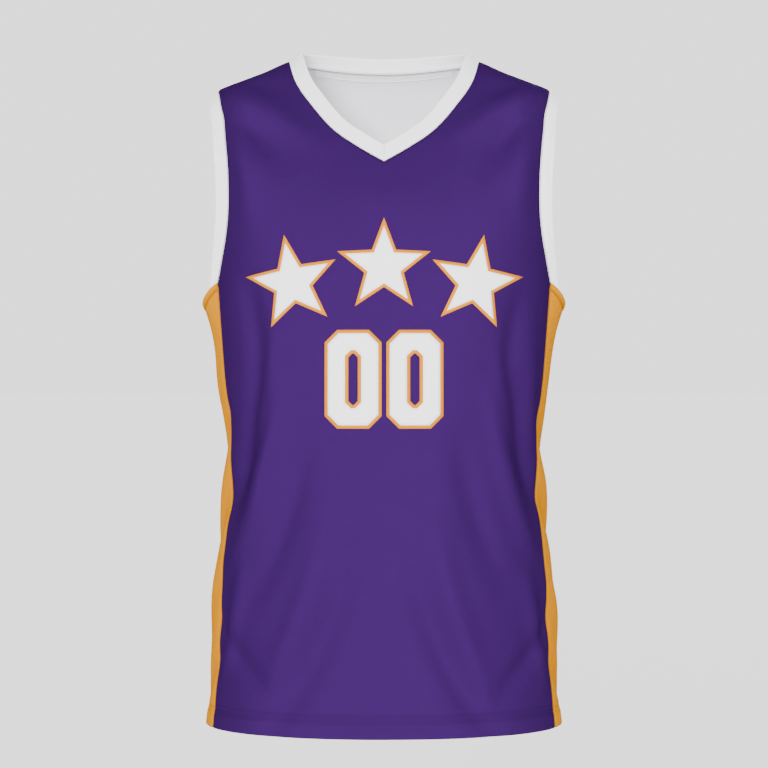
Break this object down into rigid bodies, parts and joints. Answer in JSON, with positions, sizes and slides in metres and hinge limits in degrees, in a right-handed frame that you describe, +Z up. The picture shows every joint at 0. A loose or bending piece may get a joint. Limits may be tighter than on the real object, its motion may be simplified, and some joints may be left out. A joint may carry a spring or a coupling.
{
  "type": "basketball jersey",
  "caption": "Sleeveless V-neck basketball jersey, filled out as worn: purple body, gold side panels, white rib bands at neck and armholes.",
  "frame": {"origin": "midway between the shoulders, on the line of the two shoulder seams, where the wearer holds the jersey up", "axes": "+X to the wearer's left, -Y to the front, +Z up"},
  "size_m": [0.4014, 0.2899, 0.7448],
  "materials": {
    "purple_knit": "smooth polyester knit with a soft sheen",
    "gold_knit": "smooth polyester knit with a soft sheen",
    "white_rib": "matt rib knit"
  },
  "bodies": {
    "root": {"front_panel": "purple_knit", "back_panel": "purple_knit", "side_panel_left": "gold_knit", "side_panel_right": "gold_knit", "neck_band": "white_rib", "armhole_band_left": "white_rib", "armhole_band_right": "white_rib", "neck_tape": "white_rib"}
  },
  "joints": []
}
